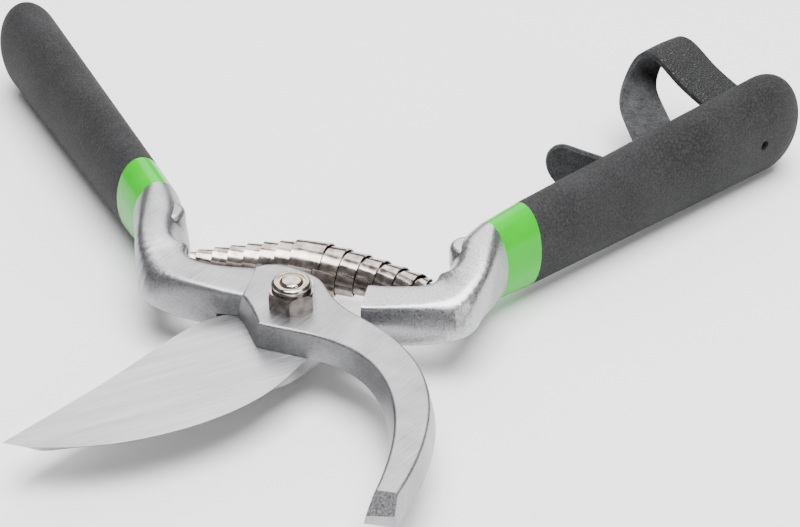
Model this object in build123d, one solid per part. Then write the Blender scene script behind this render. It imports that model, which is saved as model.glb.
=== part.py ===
from build123d import *
import math
import os

os.makedirs("parts", exist_ok=True)

# Millimetres. Shapes are drawn about the pivot axis with Z = 0 on the plane where the levers slide,
# then raised so that the finished origin is the middle of the bolt head's flat underside.
# +Z points up from the blade to the nut, the jaws point to -Y and the handles to +Y.

# pivot and plates
HOOK_PLATE_T = 6.0
BLADE_T = 3.5
SLIDE_GAP = 0.1
BOSS_CLEAR_R = 13.1
PIVOT_HOLE_R = 3.05
BOLT_R = 3.0
HOOK_DRAFT = 12.0
EDGE_ROUND = 0.7

# fasteners: an M6 bolt with a flanged locking nut
NUT_ACROSS_FLATS = 10.0
NUT_H = 4.4
NUT_COLLAR_R = 4.6
NUT_COLLAR_H = 1.7
NUT_TURN = 8.7
BOLT_TOP_Z = 12.4
BOLT_DOME_R = 2.8
HEAD_R = 6.2
HEAD_H = 3.2
WASHER_R = 7.2
WASHER_T = 1.2
INSERT_T = 1.3
ORIGIN_RISE = 2 * SLIDE_GAP + BLADE_T + WASHER_T + HEAD_H

# grips, measured along each handle from the line between collar and grip
GRIP_L = 100.4
CAP_L = 12.5
GRIP_START = (6.65, 11.76)
GRIP_END = (8.67, 14.13)
HANDLE_MID_Z = 2.15
COLLAR_L = 10.9
COLLAR_START = (6.5, 10.75)
CORE = (5.1, 9.2)
TANG = (3.1, 6.4)
TANG_L = 78.0
HANDLE_TURN = 51.9
HOOK_GRIP_AT = (-49.0, 41.8)
BLADE_GRIP_AT = (47.7, 39.0)

# shank stations: centre x, centre y, heading, half width, bottom z, top z, squareness, draft and
# lean, which is how far the top leans to the right of the heading
HOOK_SHANK = (
    (-7.5, 7.1, 180.0, 6.4, -5.0, 5.9, 8.0, 0.05, 0.0),
    (-13.0, 6.8, 180.0, 6.2, -5.0, 6.0, 8.0, 0.06, 0.0),
    (-22.5, 5.9, 178.0, 5.3, -4.0, 6.9, 7.0, 0.12, -0.6),
    (-29.3, 6.6, 170.0, 5.5, -2.6, 7.7, 5.5, 0.12, -1.3),
    (-33.0, 9.3, 148.0, 6.9, -1.0, 8.6, 4.5, 0.10, -2.0),
    (-36.3, 14.9, 119.0, 5.8, -4.2, 10.4, 4.2, 0.20, 0.6),
    (-38.4, 24.6, 120.0, 6.4, -8.0, 12.2, 3.2, 0.10, 1.2),
)
BLADE_SHANK = (
    (15.7, 6.0, 0.0, 5.2, -5.0, 6.1, 8.0, 0.05, 0.0),
    (17.5, 6.0, 0.0, 5.2, -5.0, 6.2, 8.0, 0.06, 0.0),
    (23.5, 5.6, 2.0, 5.2, -4.0, 6.9, 7.0, 0.12, 0.6),
    (30.8, 6.1, 9.0, 5.5, -2.6, 7.7, 5.5, 0.12, 1.3),
    (35.6, 8.7, 34.0, 7.0, -1.0, 8.6, 4.5, 0.10, 2.0),
    (38.0, 14.8, 62.0, 6.1, -4.2, 10.4, 4.2, 0.20, -0.6),
    (38.5, 23.0, 60.0, 7.0, -8.0, 12.2, 3.2, 0.10, -1.2),
)
SECTION_POINTS = 32
SEAM_AT = 0.31
SHANK_PARTS = 4
PAD_R = 4.2
PAD_OUT = -0.4
PAD_H = 7.0
PAD_DROP = 5.0
PAD_ROUND = 1.5

# jaws: the hook's top edge run anticlockwise, and where its corners are in that run
HOOK_POINTS = (
    (30.9, -62.3), (35.3, -61.8), (37.3, -52.8), (38.3, -42.0), (37.8, -33.0), (34.7, -21.6),
    (29.0, -12.4), (20.6, -4.8), (12.8, 0.2), (7.6, 5.4), (4.0, 10.4), (-1.5, 13.2),
    (-7.6, 14.4), (-12.0, 12.6), (-12.0, 0.9), (-9.6, -2.0), (-7.4, -5.6), (-5.6, -9.0),
    (1.7, -10.0), (9.3, -11.3), (18.8, -15.6), (25.4, -22.6), (29.6, -31.5), (31.7, -42.0),
    (31.9, -52.0),
)
HOOK_CORNERS = (0, 1, 13, 14, 17, 25)
TIP_BEVEL_START_Y = -59.0
TIP_BEVEL_TURN = 48.0
GRIND_W = 3.8
TIP_GRIND = 1.9
SPINE = (
    (-50.5, -52.6), (-41.4, -38.1), (-33.4, -24.6), (-24.6, -8.4), (-18.4, -0.8), (-12.4, 2.2),
)
CUTTING_EDGE = (
    (-50.5, -52.6), (-45.4, -52.8), (-35.9, -51.2), (-26.9, -48.2), (-17.6, -43.2),
    (-8.9, -36.6), (-2.5, -29.8), (1.9, -22.8),
)

# spring: two tapered strip coils meeting behind the nut
SPRING_LEFT = (-30.0, 18.8, 0.4)
SPRING_TOP = (0.5, 22.8, -0.1)
SPRING_RIGHT = (28.4, 18.4, 0.6)
SPRING_FAT_R = 6.6
SPRING_THIN_R = 2.3
SPRING_WALL = 0.5
SPUR_R = 1.6
SPUR_L = 4.0
SPUR_ROOT = 5.4

# closing strap on the blade lever's grip
STRAP_W = 14.5
STRAP_T = 1.8
LOOP_FAR_S = 75.7
LOOP_SECTIONS = 12
LOOP_COURSE = (
    (0.0, 5.0, 7.6), (0.0, 17.0, 11.2), (-0.2, 27.5, 14.8), (-1.0, 33.0, 13.0),
    (-4.0, 34.6, 7.8), (-10.5, 30.0, 3.4), (-18.5, 18.5, 2.2), (-26.4, 5.0, 1.0),
)
TAIL_S = 28.6
TAIL_MID_Z = 7.4
TAIL_W = 12.6
TAIL_OUT = 18.6
PIN_R = 1.35
PIN_S = 80.3
PIN_RECESS = 0.8


def heading(turn):
    """Unit vector in the XY plane at this angle."""
    return Vector(math.cos(math.radians(turn)), math.sin(math.radians(turn)), 0)


def oval(centre, turn, half_w, half_h, power=2.0, draft=0.0, lean=0.0):
    """A closed rounded section across a path at this heading, with draft above and below."""
    plane = Plane(origin=centre, x_dir=heading(turn - 90.0), z_dir=heading(turn))
    points = []
    for i in range(SECTION_POINTS):
        angle = math.tau * ((i + 0.5) / SECTION_POINTS + SEAM_AT)
        c = math.cos(angle)
        s = math.sin(angle)
        rise = abs(s) ** (2.0 / power)
        u = half_w * math.copysign(abs(c) ** (2.0 / power), c) * (1.0 - draft * rise)
        v = half_h * math.copysign(rise, s)
        points.append(plane.from_local_coords((u + lean * v / half_h, v, 0)))
    return Face(Wire([Edge.make_spline(points, periodic=True)]))


def eased(rows, parts):
    """The rows of numbers with more rows put between them on a smooth run; x and y lead."""
    at = [0.0]
    for before, after in zip(rows, rows[1:]):
        at.append(at[-1] + math.dist(before[:2], after[:2]))
    last = len(rows) - 1
    slopes = []
    for i in range(last + 1):
        low = max(i - 1, 0)
        high = min(i + 1, last)
        span = at[high] - at[low]
        slopes.append([(b - a) / span for a, b in zip(rows[low], rows[high])])
    run = []
    for i in range(last):
        span = at[i + 1] - at[i]
        for part in range(parts):
            t = part / parts
            start = 2 * t ** 3 - 3 * t ** 2 + 1
            leave = (t ** 3 - 2 * t ** 2 + t) * span
            arrive = (t ** 3 - t ** 2) * span
            run.append([
                a * start + b * (1.0 - start) + m * leave + n * arrive
                for a, b, m, n in zip(rows[i], rows[i + 1], slopes[i], slopes[i + 1])
            ])
    run.append(list(rows[-1]))
    return run


def shank(stations, root, turn):
    """The forged neck of a lever, ending in the core that the collar slides on."""
    end = Vector(root[0], root[1], HANDLE_MID_Z) - heading(turn) * COLLAR_L
    low = HANDLE_MID_Z - COLLAR_START[1]
    high = HANDLE_MID_Z + COLLAR_START[1]
    seat = (end.X, end.Y, turn, COLLAR_START[0], low, high, 2.0, 0.0, 0.0)
    sections = []
    for row in eased([*stations, seat], SHANK_PARTS):
        x, y, way, half_w, bottom, top, power, draft, lean = row
        mid = Vector(x, y, (bottom + top) / 2)
        sections.append(oval(mid, way, half_w, (top - bottom) / 2, power, draft, lean))
    neck = loft(sections, ruled=True)
    core = extrude(oval(end, turn, CORE[0], CORE[1]), COLLAR_L, dir=heading(turn))
    return neck + core


def tang(root, turn, length=TANG_L):
    """The bar of the lever that runs inside the grip."""
    start = Vector(root[0], root[1], HANDLE_MID_Z)
    section = oval(start, turn, TANG[0], TANG[1], 5.0)
    return extrude(section, length, dir=heading(turn))


def collar(root, turn):
    """The coloured ring between the neck and the grip."""
    end = Vector(root[0], root[1], HANDLE_MID_Z)
    start = end - heading(turn) * COLLAR_L
    outer = loft([
        oval(start, turn, COLLAR_START[0], COLLAR_START[1]),
        oval(end, turn, GRIP_START[0], GRIP_START[1]),
    ])
    core = extrude(oval(start, turn, CORE[0], CORE[1]), COLLAR_L, dir=heading(turn))
    return outer - core


def grip(root, turn):
    """A tapered oval sleeve with a rounded closed end."""
    start = Vector(root[0], root[1], HANDLE_MID_Z)
    straight = GRIP_L - CAP_L
    body = loft([
        oval(start, turn, GRIP_START[0], GRIP_START[1]),
        oval(start + heading(turn) * straight, turn, GRIP_END[0], GRIP_END[1]),
    ])
    cap = []
    for step in (0.0, 20.0, 38.0, 54.0, 68.0, 79.0, 86.5):
        reach = straight + CAP_L * math.sin(math.radians(step))
        size = math.cos(math.radians(step))
        centre = start + heading(turn) * reach
        cap.append(oval(centre, turn, GRIP_END[0] * size, GRIP_END[1] * size))
    return body + loft(cap) - tang(root, turn)


def grown(points, amount):
    """The closed run of points, each moved outwards by this amount."""
    moved = []
    for i, (x, y) in enumerate(points):
        before = Vector(*points[i - 1], 0)
        after = Vector(*points[(i + 1) % len(points)], 0)
        way = (after - before).normalized()
        moved.append((x + way.Y * amount, y - way.X * amount))
    return moved


def hook_outline(grow, z):
    """Plan of the hook and the disc around the pivot, run anticlockwise."""
    points = grown(HOOK_POINTS, grow)
    edges = []
    for first, last in zip(HOOK_CORNERS, HOOK_CORNERS[1:]):
        run = points[first:last + 1]
        if last == len(points):
            run.append(points[0])
        edges.append(Edge.make_spline(run) if len(run) > 2 else Edge.make_line(*run))
    return Face(Wire(edges)).moved(Location((0, 0, z)))


def hook_plate():
    """The hook and the disc around the pivot, with forging draft on every edge."""
    foot = HOOK_PLATE_T * math.tan(math.radians(HOOK_DRAFT))
    plate = loft([hook_outline(foot, 0.0), hook_outline(0.0, HOOK_PLATE_T)], ruled=True)
    rim = plate.faces().sort_by(Axis.Z)[-1].edges()
    plate = fillet(rim, EDGE_ROUND)
    bevel = Box(30, 20, 12, align=(Align.CENTER, Align.MAX, Align.MIN))
    bevel = bevel.rotate(Axis.X, TIP_BEVEL_TURN)
    return plate - bevel.moved(Location((34, TIP_BEVEL_START_Y, HOOK_PLATE_T)))


def blade_outline(grind, z):
    """Plan of the blade, pivot disc and web; grind moves the cutting edge in from its top line."""
    edge = []
    for i, (x, y) in enumerate(CUTTING_EDGE):
        before = Vector(*CUTTING_EDGE[max(i - 1, 0)], 0)
        after = Vector(*CUTTING_EDGE[min(i + 1, len(CUTTING_EDGE) - 1)], 0)
        way = (after - before).normalized()
        edge.append((x - way.Y * grind, y + way.X * grind))
    along = Vector(SPINE[1][0] - SPINE[0][0], SPINE[1][1] - SPINE[0][1], 0).normalized()
    tip = (SPINE[0][0] + along.X * grind * TIP_GRIND, SPINE[0][1] + along.Y * grind * TIP_GRIND)
    edge[0] = tip
    spine = Edge.make_spline([tip, *SPINE[1:]])
    back = Edge.make_three_point_arc(SPINE[-1], (-5.0, 11.57), (6.0, 11.08))
    web = Edge.make_line((6.0, 11.08), (17.5, 11.0))
    neck = Edge.make_line((17.5, 11.0), (17.5, 1.0))
    throat = Edge.make_spline([(17.5, 1.0), (13.4, -2.6), (9.0, -7.2), (6.2, -12.2), edge[-1]])
    outline = Wire([spine, back, web, neck, throat, Edge.make_spline(edge)])
    return Face(outline).moved(Location((0, 0, z)))


def blade_plate():
    """The blade, flat above and ground to an edge from below."""
    top = -SLIDE_GAP
    return loft([blade_outline(0.0, top), blade_outline(GRIND_W, top - BLADE_T)], ruled=True)


def disc(radius, low, high):
    """A plain cylinder on the pivot axis."""
    length = high - low
    return Cylinder(radius, length, align=(Align.CENTER, Align.CENTER, Align.MIN)).moved(
        Location((0, 0, low))
    )


def stop_pad(station, side):
    """A low rounded pad on the inner side of a neck, beside the collar."""
    x, y, way, half_w, _, high = station[:6]
    centre = Vector(x, y, high - PAD_DROP) + heading(way + side * 90.0) * (half_w - PAD_R + PAD_OUT)
    pad = Cylinder(PAD_R, PAD_H)
    return fillet(pad.edges().filter_by(GeomType.CIRCLE), PAD_ROUND).moved(Location(centre))


def spur(at, towards):
    """A short peg on a neck that the end of the spring slips over."""
    start = Vector(*at)
    way = (Vector(*towards) - start).normalized()
    plane = Plane(origin=start - way * SPUR_ROOT, z_dir=way)
    return extrude(plane * Circle(SPUR_R), SPUR_L + SPUR_ROOT)


def hook_lever():
    """Hook, plate, neck and tang of the lever that carries the nut."""
    neck = shank(HOOK_SHANK, HOOK_GRIP_AT, 180.0 - HANDLE_TURN)
    neck = neck + stop_pad(HOOK_SHANK[-1], -1.0)
    swept = disc(BOSS_CLEAR_R, -12.0, 0.0)
    blade_room = Polyline(
        (0, 0), (-12.6, 3.4), (-18.8, 0.5), (-25.6, -7.4), (-25.6, -20.0), (0, -20.0), close=True
    )
    blade_room = extrude(make_face(blade_room), 12.0, dir=(0, 0, -1))
    web_room = Polyline((0, 0), (-11.6, 2.0), (-6.3, 19.6), (0, 20.0), close=True)
    web_room = extrude(make_face(web_room), 12.0, dir=(0, 0, -1))
    lever = hook_plate() + (neck - swept - blade_room - web_room)
    lever = lever + tang(HOOK_GRIP_AT, 180.0 - HANDLE_TURN)
    lever = lever + spur(SPRING_LEFT, SPRING_TOP)
    return lever - disc(BOLT_R, -1.0, 20.0)


def blade_lever():
    """Blade, plate, neck and tang of the lever that turns on the bolt."""
    neck = shank(BLADE_SHANK, BLADE_GRIP_AT, HANDLE_TURN)
    neck = neck + stop_pad(BLADE_SHANK[-1], 1.0)
    lever = blade_plate() + neck + tang(BLADE_GRIP_AT, HANDLE_TURN)
    lever = lever + spur(SPRING_RIGHT, SPRING_TOP)
    return lever - disc(PIVOT_HOLE_R, -20.0, 20.0)


def pivot_bolt():
    """Domed head below, plain shank, rounded end standing out of the nut."""
    under = -SLIDE_GAP - BLADE_T - SLIDE_GAP - WASHER_T
    head = fillet(disc(HEAD_R, under - HEAD_H, under).edges().sort_by(Axis.Z)[0], 1.4)
    shank_body = disc(BOLT_R, under, HOOK_PLATE_T + NUT_H)
    end = disc(BOLT_DOME_R, HOOK_PLATE_T + NUT_H, BOLT_TOP_Z)
    end = fillet(end.edges().sort_by(Axis.Z)[-1], 1.0)
    return head + shank_body + end


def head_washer():
    """Plain washer between the bolt head and the blade."""
    top = -SLIDE_GAP - BLADE_T - SLIDE_GAP
    return disc(WASHER_R, top - WASHER_T, top) - disc(BOLT_R, top - 5.0, top + 5.0)


def nut_blank():
    """Hexagon with chamfered corners and the round collar that holds the insert."""
    radius = NUT_ACROSS_FLATS / math.sqrt(3.0)
    base = RegularPolygon(radius, 6, rotation=30.0 + NUT_TURN)
    hexagon = extrude(base, NUT_H).moved(Location((0, 0, HOOK_PLATE_T)))
    cone = Cone(
        radius + 3.6, radius - 0.45, 7.0, align=(Align.CENTER, Align.CENTER, Align.MAX)
    )
    hexagon = hexagon & cone.moved(Location((0, 0, HOOK_PLATE_T + NUT_H)))
    top = HOOK_PLATE_T + NUT_H + NUT_COLLAR_H
    rim = fillet(disc(NUT_COLLAR_R, HOOK_PLATE_T + 1.0, top).edges().sort_by(Axis.Z)[-1], 0.9)
    return hexagon + rim


def nut_insert():
    """The plastic locking ring inside the nut's collar."""
    low = HOOK_PLATE_T + NUT_H
    return disc(NUT_COLLAR_R - 0.7, low, low + INSERT_T) - disc(BOLT_DOME_R, low - 1.0, low + 5.0)


def lock_nut():
    """The nut with its thread bore and the seat of the insert."""
    low = HOOK_PLATE_T + NUT_H
    bored = nut_blank() - disc(BOLT_R, 0.0, low)
    bored = bored - disc(NUT_COLLAR_R - 0.7, low, low + INSERT_T)
    return bored - disc(BOLT_DOME_R + 0.5, low, low + 5.0)


def spring_half(end):
    """Half of the spring: a tapered tube from a neck's spur to the middle of the arch."""
    start = Vector(*end)
    middle = Vector(*SPRING_TOP)
    flat = Vector(1, 0, 0) if start.X < 0 else Vector(-1, 0, 0)
    path = Edge.make_tangent_arc(middle, flat * -1.0, start)
    outer = []
    inner = []
    for part in (0.0, 0.25, 0.5, 0.75, 1.0):
        radius = SPRING_FAT_R + (SPRING_THIN_R - SPRING_FAT_R) * part
        plane = Plane(origin=path @ part, z_dir=path % part)
        outer.append(plane * Circle(radius))
        inner.append(plane * Circle(radius - SPRING_WALL))
    return loft(outer) - loft(inner)


def on_grip(s, out, z, root=BLADE_GRIP_AT, turn=HANDLE_TURN):
    """Point at a length along the blade lever's grip, a distance inwards and a height."""
    base = Vector(root[0], root[1], 0)
    return base + heading(turn) * s + heading(turn + 90.0) * out + Vector(0, 0, z)


def strap_loop():
    """The arch of the closing strap, held in the grip at both feet."""
    along = heading(HANDLE_TURN)
    side = Edge.make_spline([on_grip(LOOP_FAR_S + s, out, z) for s, out, z in LOOP_COURSE])
    sections = []
    for i in range(LOOP_SECTIONS):
        at = side @ (i / (LOOP_SECTIONS - 1))
        way = side % (i / (LOOP_SECTIONS - 1))
        across = way.cross(along).normalized() * STRAP_T
        corners = [at, at + along * STRAP_W, at + along * STRAP_W + across, at + across]
        sections.append(Face(Wire.make_polygon(corners)))
    return loft(sections)


def strap_tail():
    """The rounded free end of the strap, standing out of the grip on edge."""
    way = (heading(HANDLE_TURN + 90.0) - heading(HANDLE_TURN) * 0.3).normalized()
    origin = on_grip(TAIL_S, 3.6, TAIL_MID_Z)
    length = TAIL_OUT - 3.6
    plane = Plane(origin=origin, x_dir=way, z_dir=way.cross(Vector(0, 0, 1)))
    body = Rectangle(length - TAIL_W / 2, TAIL_W, align=(Align.MIN, Align.CENTER))
    tab = body + Circle(TAIL_W / 2).moved(Location((length - TAIL_W / 2, 0)))
    return extrude(plane * tab, STRAP_T)


def strap_pin():
    """The cross pin that holds the strap inside the grip."""
    origin = on_grip(PIN_S, -7.2 + PIN_RECESS, HANDLE_MID_Z)
    plane = Plane(origin=origin, z_dir=heading(HANDLE_TURN + 90.0))
    return extrude(plane * Circle(PIN_R), 9.0)


def blade_grip(loop, tail, pin):
    """The blade lever's grip, cut for the strap and its pin."""
    sleeve = grip(BLADE_GRIP_AT, HANDLE_TURN)
    mouth = Plane(
        origin=on_grip(PIN_S, -7.2 + PIN_RECESS, HANDLE_MID_Z), z_dir=heading(HANDLE_TURN - 90.0)
    )
    return sleeve - loop - tail - pin - extrude(mouth * Circle(PIN_R), 6.0)


def save(name, shape):
    """Raise one piece onto the finished origin and write it."""
    raised = shape.moved(Location((0, 0, ORIGIN_RISE)))
    raised.label = name
    export_step(raised, f"parts/{name}.step")


loop = strap_loop()
tail = strap_tail()
pin = strap_pin()
save("hook_lever", hook_lever())
save("blade_lever", blade_lever())
save("pivot_bolt", pivot_bolt())
save("head_washer", head_washer())
save("lock_nut", lock_nut())
save("nut_insert", nut_insert())
save("spring_left", spring_half(SPRING_LEFT))
save("spring_right", spring_half(SPRING_RIGHT))
save("left_collar", collar(HOOK_GRIP_AT, 180.0 - HANDLE_TURN))
save("right_collar", collar(BLADE_GRIP_AT, HANDLE_TURN))
save("left_grip", grip(HOOK_GRIP_AT, 180.0 - HANDLE_TURN))
save("right_grip", blade_grip(loop, tail, pin))
save("strap_loop", loop)
save("strap_tail", tail)
save("strap_pin", pin)
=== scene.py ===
"""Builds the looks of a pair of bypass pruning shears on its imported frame."""

import math

import bmesh
import bpy
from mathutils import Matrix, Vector


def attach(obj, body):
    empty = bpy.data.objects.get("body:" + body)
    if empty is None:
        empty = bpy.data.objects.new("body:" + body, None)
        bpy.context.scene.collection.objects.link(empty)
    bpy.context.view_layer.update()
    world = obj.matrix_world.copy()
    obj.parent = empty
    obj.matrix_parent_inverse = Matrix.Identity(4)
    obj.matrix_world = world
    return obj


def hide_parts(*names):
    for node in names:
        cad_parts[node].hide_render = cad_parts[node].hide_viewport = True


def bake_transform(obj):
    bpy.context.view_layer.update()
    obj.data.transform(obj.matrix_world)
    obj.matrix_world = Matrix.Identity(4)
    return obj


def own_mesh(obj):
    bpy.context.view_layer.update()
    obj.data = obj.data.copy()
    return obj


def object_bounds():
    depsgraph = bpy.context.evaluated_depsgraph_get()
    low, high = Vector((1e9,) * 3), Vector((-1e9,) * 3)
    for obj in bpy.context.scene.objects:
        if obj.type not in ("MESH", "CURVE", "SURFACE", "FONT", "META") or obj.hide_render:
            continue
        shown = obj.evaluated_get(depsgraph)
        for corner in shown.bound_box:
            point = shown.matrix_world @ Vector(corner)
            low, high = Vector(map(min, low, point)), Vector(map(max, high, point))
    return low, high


bl_info = {
    "name": "Pruning Shears",
    "version": (1, 0, 0),
    "blender": (4, 5, 0),
    "location": "3D View > Sidebar > Shears",
    "description": "Finishes, return spring, closing strap and stage for bypass pruning shears",
    "category": "Object",
}

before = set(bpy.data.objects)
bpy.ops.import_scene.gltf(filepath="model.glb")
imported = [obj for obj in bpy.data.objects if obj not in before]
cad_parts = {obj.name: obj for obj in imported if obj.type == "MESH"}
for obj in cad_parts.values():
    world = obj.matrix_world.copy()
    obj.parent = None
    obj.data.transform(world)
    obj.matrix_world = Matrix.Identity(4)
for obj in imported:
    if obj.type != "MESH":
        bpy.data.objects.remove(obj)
CAD_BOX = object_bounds()

# Places that the CAD part gives, in metres in the shared frame.
SPRING_LEFT_END = Vector((-0.0300, 0.0188, 0.0085))
SPRING_ARCH = Vector((0.0005, 0.0228, 0.0080))
SPRING_RIGHT_END = Vector((0.0284, 0.0184, 0.0087))
GRIP_ROOT = Vector((0.0477, 0.0390, 0.0081))
GRIP_WAY = Vector((math.cos(math.radians(51.9)), math.sin(math.radians(51.9)), 0.0))
GRIP_IN = Vector((-GRIP_WAY.y, GRIP_WAY.x, 0.0))

# Where the blade lever's neck begins, as a stretch of X.
NECK_ROOT = (0.0140, 0.0156)

# How far each coil runs past the middle of the spring, so that the two halves overlap.
COIL_OVERLAP = 0.0006

# The tail's root on the grip, its length, and how far it leans and curls.
TAIL_ROOT = (0.0294, 0.0010, 0.0074)
TAIL_LENGTH = 0.0177
TAIL_LEAN = 0.3
TAIL_CURL = 0.0009
TAIL_STEPS = 6
TIP_STEPS = 16

# How far the leather cups across its width, and its rounded corners as shares of its thickness.
STRAP_CUP = 0.0003
STRAP_CORNER = 0.28
TAIL_CORNER = 0.3
COURSE_PARTS = 14

MM_IN_M = 1000.0
FLOOR_GAP = 0.0002

# Mix has sockets of one name for each kind of data; these are its colour ones.
COLOUR_A = 6
COLOUR_B = 7
COLOUR_OUT = 2

# The strap's course on the grip: metres along it, inwards from its middle, and up.
LOOP_COURSE = (
    (0.0757, 0.0050, 0.0076),
    (0.0757, 0.0170, 0.0112),
    (0.0755, 0.0275, 0.0160),
    (0.0747, 0.0330, 0.0142),
    (0.0717, 0.0346, 0.0078),
    (0.0652, 0.0300, 0.0034),
    (0.0572, 0.0185, 0.0022),
    (0.0493, 0.0050, 0.0010),
)


# ---------------------------------------------------------------- sizes and colours


class SpringSizes(bpy.types.PropertyGroup):
    """Sizes of the tapered strip coils."""

    fat_radius: bpy.props.FloatProperty(
        name="Middle radius", description="Outer radius where the coils meet",
        default=0.0066, min=0.004, max=0.009, unit="LENGTH",
    )
    thin_radius: bpy.props.FloatProperty(
        name="End radius", description="Outer radius at the levers",
        default=0.0022, min=0.001, max=0.004, unit="LENGTH",
    )
    strip_width: bpy.props.FloatProperty(
        name="Strip width", description="Width of the rolled spring strip",
        default=0.0062, min=0.003, max=0.01, unit="LENGTH",
    )
    strip_thickness: bpy.props.FloatProperty(
        name="Strip thickness", description="Thickness of the rolled spring strip",
        default=0.00032, min=0.0002, max=0.0006, unit="LENGTH",
    )
    left_turns: bpy.props.FloatProperty(
        name="Left turns", description="Turns of the coil on the hook side",
        default=7.6, min=3.0, max=12.0,
    )
    right_turns: bpy.props.FloatProperty(
        name="Right turns", description="Turns of the coil on the blade side",
        default=6.4, min=3.0, max=12.0,
    )


class StrapSizes(bpy.types.PropertyGroup):
    """Sizes of the leather closing strap."""

    width: bpy.props.FloatProperty(
        name="Width", description="Width of the leather strap",
        default=0.0145, min=0.008, max=0.02, unit="LENGTH",
    )
    thickness: bpy.props.FloatProperty(
        name="Thickness", description="Thickness of the leather",
        default=0.0018, min=0.001, max=0.003, unit="LENGTH",
    )
    tail_width: bpy.props.FloatProperty(
        name="Tail width", description="Width of the free end",
        default=0.0126, min=0.008, max=0.02, unit="LENGTH",
    )


class FinishColours(bpy.types.PropertyGroup):
    """Main colours, as sRGB hex."""

    collar: bpy.props.StringProperty(
        name="Collar", description="Colour of the glossy collars", default="#04a800"
    )
    grip: bpy.props.StringProperty(
        name="Grip", description="Colour of the foam grips", default="#343435"
    )
    strap: bpy.props.StringProperty(
        name="Strap", description="Colour of the leather's grain side", default="#242526"
    )


class StageSettings(bpy.types.PropertyGroup):
    """Camera, floor and lights."""

    focal_mm: bpy.props.FloatProperty(
        name="Focal length", description="Camera focal length on a 36 mm sensor",
        default=83.83, min=20.0, max=200.0,
    )
    key_watts: bpy.props.FloatProperty(
        name="Back light", description="Power of the softbox behind",
        default=8.0, min=0.0, max=200.0, subtype="POWER",
    )
    top_watts: bpy.props.FloatProperty(
        name="Top light", description="Power of the softbox overhead",
        default=36.0, min=0.0, max=200.0, subtype="POWER",
    )
    fill_watts: bpy.props.FloatProperty(
        name="Fill light", description="Power of the side softbox",
        default=2.5, min=0.0, max=200.0, subtype="POWER",
    )
    floor_size: bpy.props.FloatProperty(
        name="Floor size", description="Side of the floor", default=6.0, min=1.0, unit="LENGTH",
    )


# ---------------------------------------------------------------- small tools


def linear(code):
    """The linear colour of an sRGB hex code."""
    channels = [int(code[i:i + 2], 16) / 255.0 for i in (1, 3, 5)]
    return (*(c / 12.92 if c <= 0.04045 else ((c + 0.055) / 1.055) ** 2.4 for c in channels), 1.0)


def add(tree, kind, inputs=None, **settings):
    """Adds a node, sets its settings, and gives its inputs a value or a link."""
    made = tree.nodes.new(kind)
    for name, value in settings.items():
        setattr(made, name, value)
    for name, value in (inputs or {}).items():
        if isinstance(value, bpy.types.NodeSocket):
            tree.links.new(value, made.inputs[name])
        else:
            made.inputs[name].default_value = value
    return made


def new_finish(name):
    """An empty node material with its output and Principled shader."""
    material = bpy.data.materials.new(name)
    material.use_nodes = True
    material.node_tree.nodes.clear()
    shader = add(material.node_tree, "ShaderNodeBsdfPrincipled")
    add(material.node_tree, "ShaderNodeOutputMaterial", {"Surface": shader.outputs["BSDF"]})
    return material, material.node_tree, shader


def two_tone(tree, shader, factor, dark, light, start, end):
    """Colours a finish from dark to light as the factor goes from start to end."""
    share = add(
        tree, "ShaderNodeMapRange", {"Value": factor, "From Min": start, "From Max": end},
    ).outputs["Result"]
    tone = add(
        tree, "ShaderNodeMix",
        {"Factor": share, COLOUR_A: linear(dark), COLOUR_B: linear(light)}, data_type="RGBA",
    ).outputs[COLOUR_OUT]
    tree.links.new(tone, shader.inputs["Base Color"])


def gloss(tree, shader, factor, span, low, high):
    """Makes a finish rougher or smoother as the factor crosses its span."""
    rough = add(
        tree, "ShaderNodeMapRange",
        {"Value": factor, "From Min": span[0], "From Max": span[1], "To Min": low, "To Max": high},
        interpolation_type="SMOOTHSTEP",
    ).outputs["Result"]
    tree.links.new(rough, shader.inputs["Roughness"])


def raised(tree, shader, height, strength, depth_mm):
    """Raises a finish's fine texture by up to this depth."""
    bump = add(
        tree, "ShaderNodeBump",
        {"Height": height, "Strength": strength, "Distance": depth_mm / MM_IN_M},
    )
    tree.links.new(bump.outputs["Normal"], shader.inputs["Normal"])


def paint(name, material):
    """Gives a CAD node its finish."""
    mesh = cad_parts[name].data
    mesh.materials.clear()
    mesh.materials.append(material)


def need(condition, message):
    """Stops the script with a message when a step can't be finished."""
    if not condition:
        raise RuntimeError(message)


# ---------------------------------------------------------------- finishes


def brushed_lines(tree, turn, along, across, detail=3.0):
    """Noise drawn out into fine lines at an angle in plan; sizes are in millimetres."""
    place = add(tree, "ShaderNodeTexCoord")
    turned = add(
        tree, "ShaderNodeMapping",
        {"Vector": place.outputs["Object"], "Rotation": (0.0, 0.0, -math.radians(turn))},
    )
    drawn = add(
        tree, "ShaderNodeMapping",
        {"Vector": turned.outputs["Vector"],
         "Scale": (MM_IN_M / along, MM_IN_M / across, MM_IN_M / across)},
    )
    noise = add(
        tree, "ShaderNodeTexNoise",
        {"Vector": drawn.outputs["Vector"], "Scale": 1.0, "Detail": detail, "Roughness": 0.6},
    )
    return noise.outputs["Fac"]


def grains(tree, size_mm, detail=2.0, roughness=0.5):
    """Even noise with grains of this size."""
    place = add(tree, "ShaderNodeTexCoord")
    noise = add(
        tree, "ShaderNodeTexNoise",
        {"Vector": place.outputs["Object"], "Scale": MM_IN_M / size_mm, "Detail": detail,
         "Roughness": roughness},
    )
    return noise.outputs["Fac"]


def upward(tree):
    """1 on flat upward faces and 0 on the sides."""
    normal = add(tree, "ShaderNodeNewGeometry").outputs["Normal"]
    split = add(tree, "ShaderNodeSeparateXYZ", {"Vector": normal})
    return add(
        tree, "ShaderNodeMapRange",
        {"Value": split.outputs["Z"], "From Min": 0.9, "From Max": 0.99},
        interpolation_type="SMOOTHSTEP",
    ).outputs["Result"]


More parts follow.
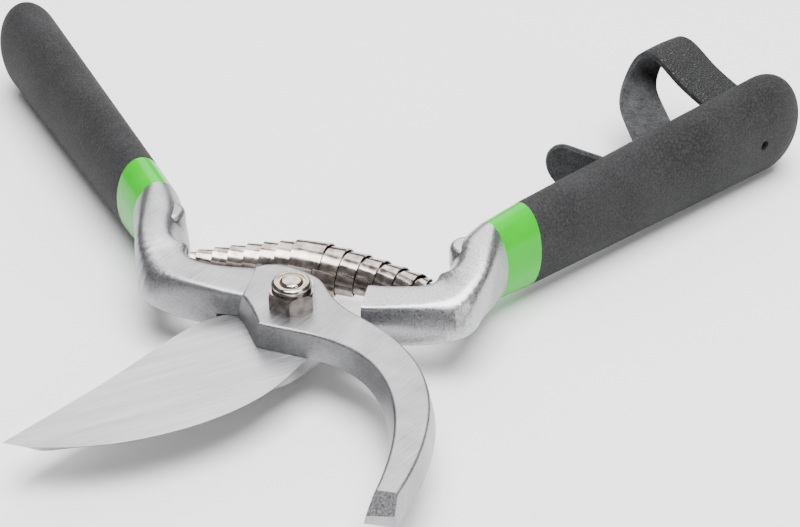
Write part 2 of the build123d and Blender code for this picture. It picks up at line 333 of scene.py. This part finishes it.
def forged_steel():
    """Drop-forged carbon steel, bead blasted all over, with its flat top linished by a belt."""
    material, tree, shader = new_finish("forged_steel_blasted")
    # Blast pits are typically about 0.1 mm; they are drawn 0.45 mm wide so that they show.
    pits = grains(tree, 0.45, 3.0, 0.65)
    # Belt lines are typically under 0.1 mm apart; they are drawn 0.3 mm apart to show.
    lines = brushed_lines(tree, 62.0, 14.0, 0.3)
    flat = upward(tree)
    relief = add(
        tree, "ShaderNodeMix", {"Factor": flat, "A": pits, "B": lines}
    ).outputs["Result"]
    cloud = grains(tree, 9.0, 3.0)
    tone = add(
        tree, "ShaderNodeMix", {"Factor": 0.45, "A": relief, "B": cloud}
    ).outputs["Result"]
    two_tone(tree, shader, tone, "#77777a", "#b4b4b6", 0.3, 0.7)
    gloss(tree, shader, relief, (0.3, 0.7), 0.33, 0.47)
    shader.inputs["Metallic"].default_value = 1.0
    raised(tree, shader, relief, 0.3, 0.08)
    return material


def blade_steel():
    """Hardened blade steel, ground lengthways to a fine satin; its neck is left blasted."""
    material, tree, shader = new_finish("blade_steel_ground")
    lines = brushed_lines(tree, 36.0, 20.0, 0.2, 4.0)
    broad = brushed_lines(tree, 36.0, 40.0, 3.0)
    pits = grains(tree, 0.45, 3.0, 0.65)
    place = add(tree, "ShaderNodeTexCoord")
    split = add(tree, "ShaderNodeSeparateXYZ", {"Vector": place.outputs["Object"]})
    on_neck = add(
        tree, "ShaderNodeMapRange",
        {"Value": split.outputs["X"], "From Min": NECK_ROOT[0], "From Max": NECK_ROOT[1]},
        interpolation_type="SMOOTHSTEP",
    ).outputs["Result"]
    relief = add(
        tree, "ShaderNodeMix", {"Factor": on_neck, "A": lines, "B": pits}
    ).outputs["Result"]
    tone = add(
        tree, "ShaderNodeMix", {"Factor": 0.4, "A": relief, "B": broad}
    ).outputs["Result"]
    bright = add(
        tree, "ShaderNodeMix", {"Factor": on_neck, "A": tone, "B": relief}
    ).outputs["Result"]
    two_tone(tree, shader, bright, "#8c8c8e", "#c4c4c6", 0.3, 0.7)
    gloss(tree, shader, relief, (0.3, 0.7), 0.27, 0.42)
    shader.inputs["Metallic"].default_value = 1.0
    raised(tree, shader, relief, 0.26, 0.07)
    return material


def plated_steel(name, tint, rough):
    """Bright plated steel: a thin even mirror with faint waviness."""
    material, tree, shader = new_finish(name)
    haze = grains(tree, 2.5, 2.0)
    two_tone(tree, shader, haze, tint[0], tint[1], 0.35, 0.65)
    gloss(tree, shader, haze, (0.3, 0.7), rough, rough + 0.08)
    shader.inputs["Metallic"].default_value = 1.0
    raised(tree, shader, haze, 0.03, 0.1)
    return material


def moulded_nylon():
    """The nut's nylon locking ring: waxy and slightly see-through, so it has soft edges."""
    material, tree, shader = new_finish("nylon_moulded")
    haze = grains(tree, 0.8, 2.0)
    two_tone(tree, shader, haze, "#cbb98a", "#e0d3ae", 0.3, 0.7)
    shader.inputs["Roughness"].default_value = 0.42
    return material


def glossy_collar(colour):
    """Injection-moulded ABS in bright green, glossy from a polished mould."""
    material, tree, shader = new_finish("abs_glossy_green")
    haze = grains(tree, 6.0, 2.0)
    two_tone(tree, shader, haze, colour, "#0cb400", 0.3, 0.8)
    ripple = grains(tree, 1.6, 2.0)
    raised(tree, shader, ripple, 0.06, 0.1)
    shader.inputs["Roughness"].default_value = 0.22
    shader.inputs["Specular IOR Level"].default_value = 0.2
    shader.inputs["Coat Weight"].default_value = 0.05
    shader.inputs["Coat Roughness"].default_value = 0.06
    return material


def foam_grip(colour):
    """Foamed soft-touch plastic: matt, with a fine suede grain; its colour follows the grain's
    height, as painted shade in the hollows and painted highlight on the crowns.
    """
    material, tree, shader = new_finish("foam_grip_grained")
    place = add(tree, "ShaderNodeTexCoord")
    # A suede grain is typically about 0.3 mm; it is drawn 0.55 mm across so that it shows.
    cells = add(
        tree, "ShaderNodeTexVoronoi",
        {"Vector": place.outputs["Object"], "Scale": MM_IN_M / 0.55, "Randomness": 1.0},
        feature="SMOOTH_F1",
    ).outputs["Distance"]
    fuzz = grains(tree, 0.32, 3.0, 0.7)
    relief = add(
        tree, "ShaderNodeMix", {"Factor": 0.55, "A": cells, "B": fuzz}
    ).outputs["Result"]
    cloud = grains(tree, 14.0, 2.0)
    tone = add(
        tree, "ShaderNodeMix", {"Factor": 0.25, "A": relief, "B": cloud}
    ).outputs["Result"]
    # Painted shade and painted highlight: the colour is darker in the grain's hollows and paler on
    # its crowns.
    two_tone(tree, shader, tone, "#0e0e0f", colour, 0.3, 0.6)
    raised(tree, shader, relief, 1.0, 0.4)
    shader.inputs["Roughness"].default_value = 0.72
    shader.inputs["Specular IOR Level"].default_value = 0.22
    return material


def grain_leather(colour):
    """Dyed grain leather: small creased pebbles with a low sheen, with painted shade darkening the
    creases between them.
    """
    material, tree, shader = new_finish("leather_grain_side")
    surface = add(tree, "ShaderNodeUVMap", uv_map="strap").outputs["UV"]
    bent = add(
        tree, "ShaderNodeTexNoise", {"Vector": surface, "Scale": 300.0, "Detail": 2.0}
    ).outputs["Color"]
    shifted = add(
        tree, "ShaderNodeVectorMath",
        {0: bent, 1: (0.0009, 0.0009, 0.0), 2: surface}, operation="MULTIPLY_ADD",
    ).outputs["Vector"]
    squeezed = add(
        tree, "ShaderNodeMapping", {"Vector": shifted, "Scale": (1.5, 0.75, 1.0)}
    ).outputs["Vector"]
    # Pebbles are drawn about 0.5 mm by 1.1 mm, longer across the strap.
    pebbles = add(
        tree, "ShaderNodeTexVoronoi", {"Vector": squeezed, "Scale": MM_IN_M / 0.8},
        feature="DISTANCE_TO_EDGE",
    ).outputs["Distance"]
    height = add(
        tree, "ShaderNodeMapRange", {"Value": pebbles, "From Min": 0.0, "From Max": 0.28},
        interpolation_type="SMOOTHSTEP",
    ).outputs["Result"]
    # Painted shade: the colour darkens in the creases between the pebbles.
    two_tone(tree, shader, height, "#151516", colour, 0.0, 0.7)
    gloss(tree, shader, height, (0.0, 1.0), 0.72, 0.56)
    raised(tree, shader, height, 1.0, 0.4)
    return material


def suede_leather():
    """The leather's flesh side and cut edges: dull, fuzzy and flecked with pale fibres."""
    material, tree, shader = new_finish("leather_suede_side")
    fibres = grains(tree, 0.5, 4.0, 0.75)
    cloud = grains(tree, 3.0, 3.0)
    tone = add(
        tree, "ShaderNodeMix", {"Factor": 0.3, "A": fibres, "B": cloud}
    ).outputs["Result"]
    two_tone(tree, shader, tone, "#121213", "#47484a", 0.38, 0.62)
    raised(tree, shader, fibres, 0.7, 0.3)
    shader.inputs["Roughness"].default_value = 0.92
    shader.inputs["Sheen Weight"].default_value = 0.08
    shader.inputs["Sheen Roughness"].default_value = 0.6
    shader.inputs["Specular IOR Level"].default_value = 0.2
    return material


def floor_finish():
    """Matt white painted board."""
    material, tree, shader = new_finish("floor_painted_white")
    shader.inputs["Base Color"].default_value = linear("#f6f6f6")
    shader.inputs["Roughness"].default_value = 0.9
    shader.inputs["Specular IOR Level"].default_value = 0.1
    return material


# ---------------------------------------------------------------- spring


def coil_tree(material):
    """A tapered strip coil laid along an arch, as a node tree with named sizes."""
    tree = bpy.data.node_groups.new("tapered_strip_coil", "GeometryNodeTree")
    tree.is_modifier = True
    face = tree.interface
    for name, kind in (
        ("Start", "NodeSocketVector"), ("Arch", "NodeSocketVector"), ("End", "NodeSocketVector"),
        ("Thin Radius", "NodeSocketFloat"), ("Fat Radius", "NodeSocketFloat"),
        ("Length", "NodeSocketFloat"), ("Turns", "NodeSocketFloat"),
        ("Strip Width", "NodeSocketFloat"), ("Strip Thickness", "NodeSocketFloat"),
    ):
        face.new_socket(name, in_out="INPUT", socket_type=kind)
    face.new_socket("Geometry", in_out="OUTPUT", socket_type="NodeSocketGeometry")
    given = add(tree, "NodeGroupInput").outputs
    spiral = add(
        tree, "GeometryNodeCurveSpiral",
        {"Resolution": 40, "Rotations": given["Turns"], "Start Radius": given["Thin Radius"],
         "End Radius": given["Fat Radius"], "Height": given["Length"]},
    )
    upright = add(
        tree, "GeometryNodeSetCurveNormal", {"Curve": spiral.outputs["Curve"]}, mode="Z_UP"
    )
    section = add(
        tree, "GeometryNodeCurvePrimitiveQuadrilateral",
        {"Width": given["Strip Thickness"], "Height": given["Strip Width"]},
    )
    strip = add(
        tree, "GeometryNodeCurveToMesh",
        {"Curve": upright.outputs["Curve"], "Profile Curve": section.outputs["Curve"],
         "Fill Caps": True},
    )
    arch = add(
        tree, "GeometryNodeCurveArc",
        {"Start": given["Start"], "Middle": given["Arch"], "End": given["End"],
         "Resolution": 128},
        mode="POINTS",
    )
    place = add(
        tree, "ShaderNodeSeparateXYZ",
        {"Vector": add(tree, "GeometryNodeInputPosition").outputs["Position"]},
    )
    on_arch = add(
        tree, "GeometryNodeSampleCurve",
        {"Curves": arch.outputs["Curve"], "Length": place.outputs["Z"]},
        mode="LENGTH", use_all_curves=True,
    )
    side = add(
        tree, "ShaderNodeVectorMath",
        {0: on_arch.outputs["Tangent"], 1: on_arch.outputs["Normal"]}, operation="CROSS_PRODUCT",
    )
    first = add(
        tree, "ShaderNodeVectorMath",
        {0: on_arch.outputs["Normal"], "Scale": place.outputs["X"]}, operation="SCALE",
    )
    second = add(
        tree, "ShaderNodeVectorMath",
        {0: side.outputs["Vector"], "Scale": place.outputs["Y"]}, operation="SCALE",
    )
    across = add(
        tree, "ShaderNodeVectorMath",
        {0: first.outputs["Vector"], 1: second.outputs["Vector"]}, operation="ADD",
    )
    total = add(
        tree, "ShaderNodeVectorMath",
        {0: across.outputs["Vector"], 1: on_arch.outputs["Position"]}, operation="ADD",
    )
    bent = add(
        tree, "GeometryNodeSetPosition",
        {"Geometry": strip.outputs["Mesh"], "Position": total.outputs["Vector"]},
    )
    real = add(tree, "GeometryNodeRealizeInstances", {"Geometry": bent.outputs["Geometry"]})
    done = add(
        tree, "GeometryNodeSetMaterial",
        {"Geometry": real.outputs["Geometry"], "Material": material},
    )
    add(tree, "NodeGroupOutput", {"Geometry": done.outputs["Geometry"]})
    return tree


def bake(obj, name, tree, values):
    """Runs the node tree on a piece once, keeps the result as its plain mesh."""
    modifier = obj.modifiers.new(name, "NODES")
    modifier.node_group = tree
    for item in tree.interface.items_tree:
        if item.item_type == "SOCKET" and item.in_out == "INPUT" and item.name in values:
            modifier[item.identifier] = values[item.name]
    obj.update_tag()
    evaluated = obj.evaluated_get(bpy.context.evaluated_depsgraph_get())
    mesh = bpy.data.meshes.new_from_object(evaluated)
    obj.modifiers.clear()
    need(len(mesh.vertices) > 0, f"{name} came out empty")
    obj.data = mesh


def new_piece(name, mesh=None):
    """An empty mesh object at the origin."""
    obj = bpy.data.objects.new(name, mesh or bpy.data.meshes.new(name))
    bpy.context.scene.collection.objects.link(obj)
    return obj


def outward(mesh, angle=35.0):
    """Faces point outwards, curved runs are smooth and corners stay sharp."""
    shape = bmesh.new()
    shape.from_mesh(mesh)
    bmesh.ops.remove_doubles(shape, verts=shape.verts, dist=1e-6)
    bmesh.ops.recalc_face_normals(shape, faces=shape.faces)
    for edge in shape.edges:
        edge.smooth = edge.calc_face_angle(math.pi) < math.radians(angle)
    for face in shape.faces:
        face.smooth = True
    shape.to_mesh(mesh)
    shape.free()


# ---------------------------------------------------------------- strap


def on_grip(point):
    """A course point as a place in the shared frame."""
    along, inwards, up = point
    return GRIP_ROOT + GRIP_WAY * along + GRIP_IN * inwards + Vector((0.0, 0.0, up))


def smooth_course(points, parts):
    """Points on the Catmull-Rom curve through the course."""
    ends = [points[0] * 2 - points[1], *points, points[-1] * 2 - points[-2]]
    run = []
    for i in range(1, len(ends) - 2):
        p0, p1, p2, p3 = ends[i - 1:i + 3]
        for k in range(parts):
            t = k / parts
            run.append(0.5 * (
                2 * p1 + (p2 - p0) * t + (2 * p0 - 5 * p1 + 4 * p2 - p3) * t * t
                + (3 * p1 - p0 - 3 * p2 + p3) * t ** 3
            ))
    run.append(points[-1].copy())
    return run


def band_section(width, thickness):
    """Cut leather's section: flat faces with softly worn corners, as (across, down) pairs."""
    r = thickness * STRAP_CORNER
    top = [(r * 0.3, r * 0.35), (r, 0.0)]
    inner = [(r + (width - 2 * r) * k / 10.0, 0.0) for k in range(1, 10)]
    top = top + inner + [(width - r, 0.0), (width - r * 0.3, r * 0.35), (width, r)]
    low = [(x, thickness - y) for x, y in reversed(top)]
    return top + low


def strap_mesh(name, course, width, thickness):
    """A leather band that follows the course with its width along the grip."""
    shape = bmesh.new()
    layer = shape.loops.layers.uv.new("strap")
    section = band_section(width, thickness)
    rings = []
    reach = 0.0
    for i, point in enumerate(course):
        way = (course[min(i + 1, len(course) - 1)] - course[max(i - 1, 0)]).normalized()
        down = way.cross(GRIP_WAY).normalized()
        if i:
            reach += (point - course[i - 1]).length
        ring = []
        for across, depth in section:
            cup = STRAP_CUP * (1.0 - (2.0 * across / width - 1.0) ** 2)
            ring.append(shape.verts.new(point + GRIP_WAY * across + down * (depth - cup)))
        rings.append((ring, reach))
    half = len(section) // 2
    for (a, ra), (b, rb) in zip(rings, rings[1:]):
        for k in range(len(section)):
            n = (k + 1) % len(section)
            face = shape.faces.new((a[k], a[n], b[n], b[k]))
            face.material_index = 0 if k < half - 1 else 1
            for loop, (u, v) in zip(face.loops, (
                (ra, section[k][0]), (ra, section[n][0]), (rb, section[n][0]), (rb, section[k][0])
            )):
                loop[layer].uv = (u, v)
    for ring in (rings[0][0], rings[-1][0]):
        face = shape.faces.new(ring)
        face.material_index = 1
    mesh = bpy.data.meshes.new(name)
    shape.to_mesh(mesh)
    shape.free()
    outward(mesh)
    return mesh


def tail_mesh(name, width, thickness):
    """The strap's free end: a tongue with a rounded tip, slightly curled."""
    way = (GRIP_IN - GRIP_WAY * TAIL_LEAN).normalized()
    face_way = way.cross(Vector((0.0, 0.0, 1.0))).normalized()
    root = on_grip(TAIL_ROOT)
    length = TAIL_LENGTH
    radius = width / 2.0
    outline = [(0.0, -radius)]
    outline += [((length - radius) * k / TAIL_STEPS, -radius) for k in range(1, TAIL_STEPS + 1)]
    outline += [
        (length - radius + radius * math.sin(math.pi * k / TIP_STEPS),
         -radius * math.cos(math.pi * k / TIP_STEPS))
        for k in range(1, TIP_STEPS)
    ]
    outline += [((length - radius) * k / TAIL_STEPS, radius) for k in range(TAIL_STEPS, -1, -1)]
    shape = bmesh.new()
    layer = shape.loops.layers.uv.new("strap")
    rows = []
    worn = thickness * TAIL_CORNER
    for depth, inset in ((0.0, worn), (worn, 0.0), (thickness - worn, 0.0), (thickness, worn)):
        row = []
        for x, z in outline:
            scale = 1.0 - inset / radius
            reach = min(x, length - radius) + (x - min(x, length - radius)) * scale
            curl = TAIL_CURL * (x / length) ** 2
            row.append(shape.verts.new(
                root + way * reach + Vector((0.0, 0.0, z * scale)) + face_way * (depth + curl)
            ))
        rows.append(row)
    count = len(outline)
    for a, b in zip(rows, rows[1:]):
        for k in range(count):
            n = (k + 1) % count
            shape.faces.new((a[k], a[n], b[n], b[k])).material_index = 1
    front = shape.faces.new(rows[0])
    front.material_index = 1
    back = shape.faces.new(rows[-1])
    back.material_index = 0
    for face in (front, back):
        for loop in face.loops:
            place = loop.vert.co - root
            loop[layer].uv = (place.dot(way), place.z)
    bmesh.ops.triangulate(shape, faces=[front, back])
    mesh = bpy.data.meshes.new(name)
    shape.to_mesh(mesh)
    shape.free()
    outward(mesh)
    return mesh


# ---------------------------------------------------------------- operators


class SHEARS_OT_levers(bpy.types.Operator):
    """Give the two forged levers their ground and blasted steel."""

    bl_idname = "shears.levers"
    bl_label = "Levers"

    def execute(self, context):
        paint("hook_lever", forged_steel())
        paint("blade_lever", blade_steel())
        return {"FINISHED"}


class SHEARS_OT_fasteners(bpy.types.Operator):
    """Give the pivot bolt, washer, lock nut, nylon ring and cross pin their finishes."""

    bl_idname = "shears.fasteners"
    bl_label = "Fasteners"

    def execute(self, context):
        zinc = plated_steel("zinc_plated_steel", ("#857b75", "#b6ada6"), 0.1)
        for name in ("pivot_bolt", "head_washer", "lock_nut"):
            paint(name, zinc)
        paint("nut_insert", moulded_nylon())
        paint("strap_pin", plated_steel("pin_steel_polished", ("#dadada", "#f0f0f0"), 0.45))
        return {"FINISHED"}


class SHEARS_OT_grips(bpy.types.Operator):
    """Give the grips their grained foam and the collars their glossy green."""

    bl_idname = "shears.grips"
    bl_label = "Grips and collars"

    def execute(self, context):
        colours = context.scene.shears_colours
        foam = foam_grip(colours.grip)
        green = glossy_collar(colours.collar)
        for side in ("left", "right"):
            paint(f"{side}_grip", foam)
            paint(f"{side}_collar", green)
        return {"FINISHED"}


class SHEARS_OT_spring(bpy.types.Operator):
    """Build the return spring's two tapered strip coils along their arch."""

    bl_idname = "shears.spring"
    bl_label = "Return spring"

    def execute(self, context):
        sizes = context.scene.shears_spring
        strip = plated_steel("nickel_plated_strip", ("#857a74", "#b8aea8"), 0.12)
        tree = coil_tree(strip)
        half = (SPRING_RIGHT_END - SPRING_LEFT_END).length / 2.0 + COIL_OVERLAP
        for side, start, end, turns in (
            ("left", SPRING_LEFT_END, SPRING_RIGHT_END, sizes.left_turns),
            ("right", SPRING_RIGHT_END, SPRING_LEFT_END, sizes.right_turns),
        ):
            piece = new_piece(f"spring_coil_{side}")
            bake(piece, "coil", tree, {
                "Start": start, "Arch": SPRING_ARCH, "End": end,
                "Thin Radius": sizes.thin_radius, "Fat Radius": sizes.fat_radius,
                "Length": half, "Turns": turns, "Strip Width": sizes.strip_width,
                "Strip Thickness": sizes.strip_thickness,
            })
            outward(piece.data)
            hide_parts(f"spring_{side}")
            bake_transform(piece)
        return {"FINISHED"}


class SHEARS_OT_strap(bpy.types.Operator):
    """Build the leather closing strap: its loop and its free end."""

    bl_idname = "shears.strap"
    bl_label = "Closing strap"

    def execute(self, context):
        sizes = context.scene.shears_strap
        grain = grain_leather(context.scene.shears_colours.strap)
        suede = suede_leather()
        course = smooth_course([on_grip(point) for point in LOOP_COURSE], COURSE_PARTS)
        loop = new_piece("strap_arch", strap_mesh("strap_arch", course, sizes.width, sizes.thickness))
        tail = new_piece("strap_end", tail_mesh("strap_end", sizes.tail_width, sizes.thickness))
        for piece, node in ((loop, "strap_loop"), (tail, "strap_tail")):
            piece.data.materials.append(grain)
            piece.data.materials.append(suede)
            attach(piece, "blade_side")
            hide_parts(node)
        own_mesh(loop)
        return {"FINISHED"}


class SHEARS_OT_stage(bpy.types.Operator):
    """Set up the pale floor, soft lights and camera."""

    bl_idname = "shears.stage"
    bl_label = "Stage"

    def execute(self, context):
        scene = context.scene
        settings = scene.shears_stage
        low = CAD_BOX[0]
        half = settings.floor_size / 2.0
        mesh = bpy.data.meshes.new("floor")
        height = low[2] - FLOOR_GAP
        mesh.from_pydata(
            [(-half, -half, height), (half, -half, height), (half, half, height),
             (-half, half, height)], [], [(0, 1, 2, 3)],
        )
        mesh.materials.append(floor_finish())
        new_piece("floor", mesh)
        world = bpy.data.worlds.new("studio")
        scene.world = world
        world.use_nodes = True
        world.node_tree.nodes.clear()
        sky = add(
            world.node_tree, "ShaderNodeBackground",
            {"Color": linear("#f4f5f7"), "Strength": 0.3},
        )
        add(world.node_tree, "ShaderNodeOutputWorld", {"Surface": sky.outputs["Background"]})
        for name, place, size, watts in (
            ("back_softbox", (-0.12, 0.80, 0.72), 0.8, settings.key_watts),
            ("top_softbox", (0.10, -0.05, 1.10), 0.9, settings.top_watts),
            ("fill_softbox", (0.75, -0.35, 0.35), 0.4, settings.fill_watts),
        ):
            light = bpy.data.lights.new(name, "AREA")
            light.energy = watts
            light.size = size
            lamp = bpy.data.objects.new(name, light)
            lamp.location = place
            lamp.rotation_euler = (-Vector(place)).to_track_quat("-Z", "Y").to_euler()
            scene.collection.objects.link(lamp)
        camera = bpy.data.objects.new("camera", bpy.data.cameras.new("camera"))
        camera.data.sensor_width = 36.0
        camera.data.lens = settings.focal_mm
        camera.data.clip_start = 0.01
        camera.location = (0.08925, -0.33344, 0.26306)
        looks = Vector((-0.15553, 0.80766, -0.5688))
        camera.rotation_euler = looks.to_track_quat("-Z", "Y").to_euler()
        scene.collection.objects.link(camera)
        scene.camera = camera
        return {"FINISHED"}


class SHEARS_PT_panel(bpy.types.Panel):
    """Lists the steps and their settings."""

    bl_label = "Pruning shears"
    bl_idname = "SHEARS_PT_panel"
    bl_space_type = "VIEW_3D"
    bl_region_type = "UI"
    bl_category = "Shears"

    def draw(self, context):
        column = self.layout.column(align=True)
        for step in STEPS:
            column.operator(step.bl_idname)
        for group in ("shears_spring", "shears_strap", "shears_colours", "shears_stage"):
            holder = getattr(context.scene, group)
            box = self.layout.box()
            for name in holder.__annotations__:
                box.prop(holder, name)


STEPS = (
    SHEARS_OT_levers,
    SHEARS_OT_fasteners,
    SHEARS_OT_grips,
    SHEARS_OT_spring,
    SHEARS_OT_strap,
    SHEARS_OT_stage,
)
GROUPS = {
    "shears_spring": SpringSizes,
    "shears_strap": StrapSizes,
    "shears_colours": FinishColours,
    "shears_stage": StageSettings,
}


def register():
    """Registers the classes and hangs the settings on the scene."""
    for cls in (*GROUPS.values(), *STEPS, SHEARS_PT_panel):
        bpy.utils.register_class(cls)
    for name, cls in GROUPS.items():
        setattr(bpy.types.Scene, name, bpy.props.PointerProperty(type=cls))


def unregister():
    """Takes the settings and classes away again."""
    for name in GROUPS:
        delattr(bpy.types.Scene, name)
    for cls in reversed((*GROUPS.values(), *STEPS, SHEARS_PT_panel)):
        bpy.utils.unregister_class(cls)


def main():
    """Runs every step in order."""
    register()
    for step in STEPS:
        group, name = step.bl_idname.split(".")
        result = getattr(getattr(bpy.ops, group), name)()
        need(result == {"FINISHED"}, f"{step.bl_label} did not finish")


if __name__ == "__main__":
    main()
